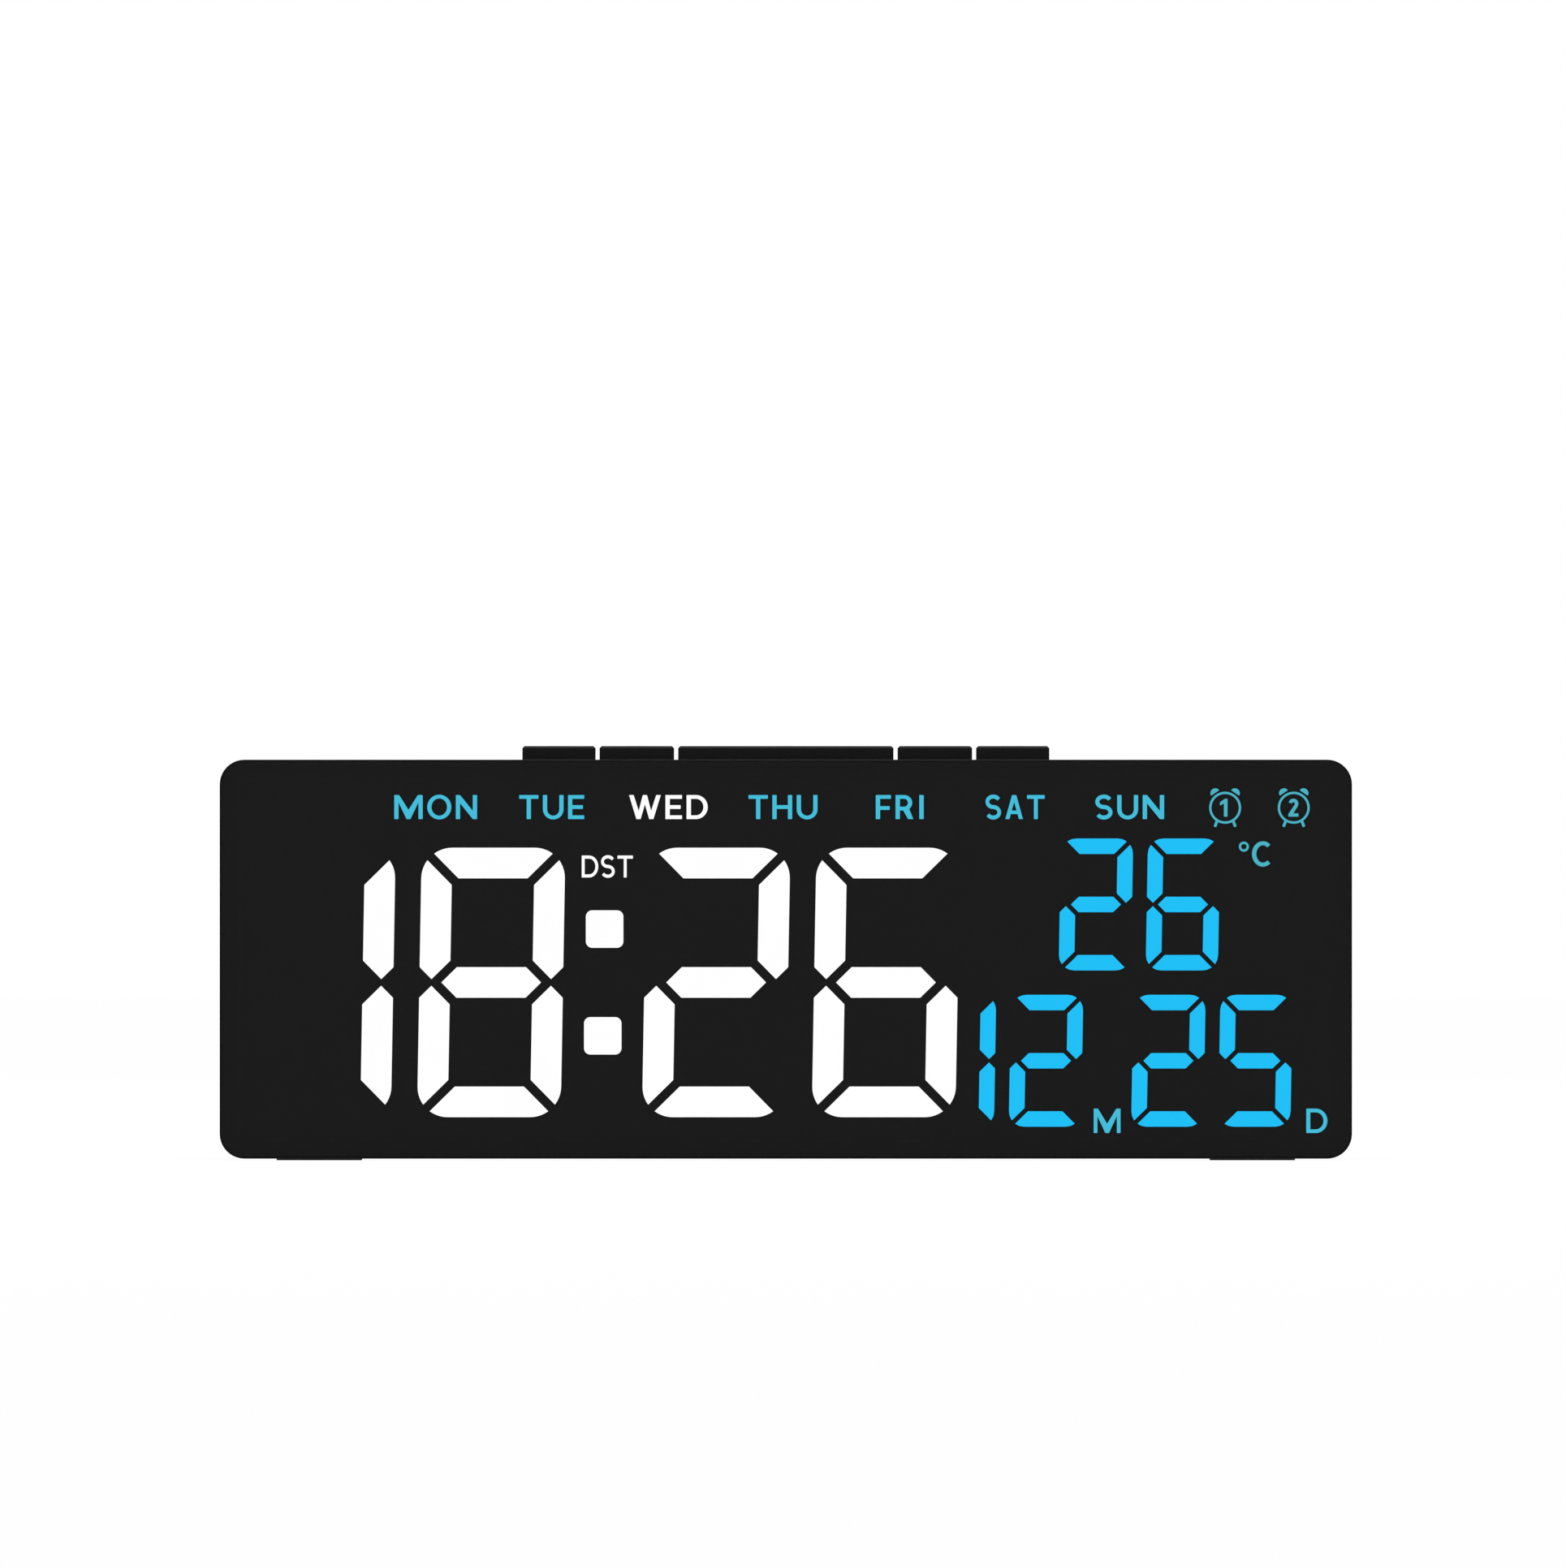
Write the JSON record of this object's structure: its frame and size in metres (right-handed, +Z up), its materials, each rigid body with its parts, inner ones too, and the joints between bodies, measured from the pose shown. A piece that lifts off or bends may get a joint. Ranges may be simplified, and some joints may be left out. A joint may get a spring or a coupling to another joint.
{
  "type": "digital alarm clock",
  "caption": "Free-standing desk alarm clock: flat smoked front over a lit segment display, push buttons on top, battery door and supply socket at the back.",
  "frame": {"origin": "middle of the footprint on the table: bottom centre of the whole clock's box", "axes": "+X to the right seen from the front, +Y to the back, +Z up; the display faces -Y"},
  "size_m": [0.16, 0.034, 0.0586],
  "materials": {
    "smoked_window": "glossy smoked acrylic",
    "case_black": "fine matt moulded black",
    "film_black": "matt black film",
    "reflector_white": "matt white moulded",
    "lit_white": "lit white diffuser",
    "lit_blue": "lit blue diffuser",
    "unlit_dark": "dark diffuser, off",
    "board_green": "green lacquered board",
    "led_yellow": "clear resin",
    "part_black": "matt black moulded",
    "bright_steel": "bright plated",
    "capacitor_can": "dark sleeve",
    "sensor_bead": "epoxy bead",
    "foot_rubber": "matt rubber",
    "cell_jacket": "plain grey jacket",
    "lead_red": "satin insulation",
    "lead_black": "satin insulation",
    "button_black": "fine matt moulded black",
    "plunger_white": "matt moulded"
  },
  "bodies": {
    "case": {"front_window": "smoked_window", "front_frame": "case_black", "display_film": "film_black", "segment_reflector": "reflector_white", "time_segments": "lit_white", "date_temperature_segments": "lit_blue", "unlit_segments": "unlit_dark", "display_board": "board_green", "segment_leds": "led_yellow", "driver_chip": "part_black", "clock_crystal": "bright_steel", "smoothing_capacitor": "capacitor_can", "alarm_sounder": "part_black", "temperature_sensor": "sensor_bead", "rear_housing": "case_black", "case_screws": "bright_steel", "rubber_feet": "foot_rubber", "button_board": "board_green", "button_board_screws": "bright_steel", "switch_bodies": "part_black", "board_link_header": "part_black", "battery_cells": "cell_jacket", "battery_contacts": "bright_steel", "battery_lead_positive": "lead_red", "battery_lead_negative": "lead_black", "power_board": "board_green", "power_board_screws": "bright_steel", "usb_shell": "bright_steel", "usb_tongue": "part_black", "power_leads": "lead_red"},
    "mode_button_body": {"mode_button": "button_black", "mode_plunger": "plunger_white"},
    "alarm_button_body": {"alarm_button": "button_black", "alarm_plunger": "plunger_white"},
    "snooze_button_body": {"snooze_button": "button_black", "snooze_plunger": "plunger_white"},
    "down_button_body": {"down_button": "button_black", "down_plunger": "plunger_white"},
    "up_button_body": {"up_button": "button_black", "up_plunger": "plunger_white"},
    "battery_door_body": {"battery_door": "case_black"}
  },
  "joints": [
    {"name": "mode_press", "type": "slide", "parent": "case", "child": "mode_button_body", "axis": [0, 0, -1], "range_m": [0, 0.0005], "stiffness_N_per_m": 600},
    {"name": "alarm_press", "type": "slide", "parent": "case", "child": "alarm_button_body", "axis": [0, 0, -1], "range_m": [0, 0.0005], "stiffness_N_per_m": 600},
    {"name": "snooze_press", "type": "slide", "parent": "case", "child": "snooze_button_body", "axis": [0, 0, -1], "range_m": [0, 0.0005], "stiffness_N_per_m": 600},
    {"name": "down_press", "type": "slide", "parent": "case", "child": "down_button_body", "axis": [0, 0, -1], "range_m": [0, 0.0005], "stiffness_N_per_m": 600},
    {"name": "up_press", "type": "slide", "parent": "case", "child": "up_button_body", "axis": [0, 0, -1], "range_m": [0, 0.0005], "stiffness_N_per_m": 600},
    {"name": "door_swing", "type": "hinge", "parent": "case", "child": "battery_door_body", "pos_m": [0, 0.01597, 0.00525], "axis": [-1, 0, 0], "range_deg": [0, 90]}
  ]
}
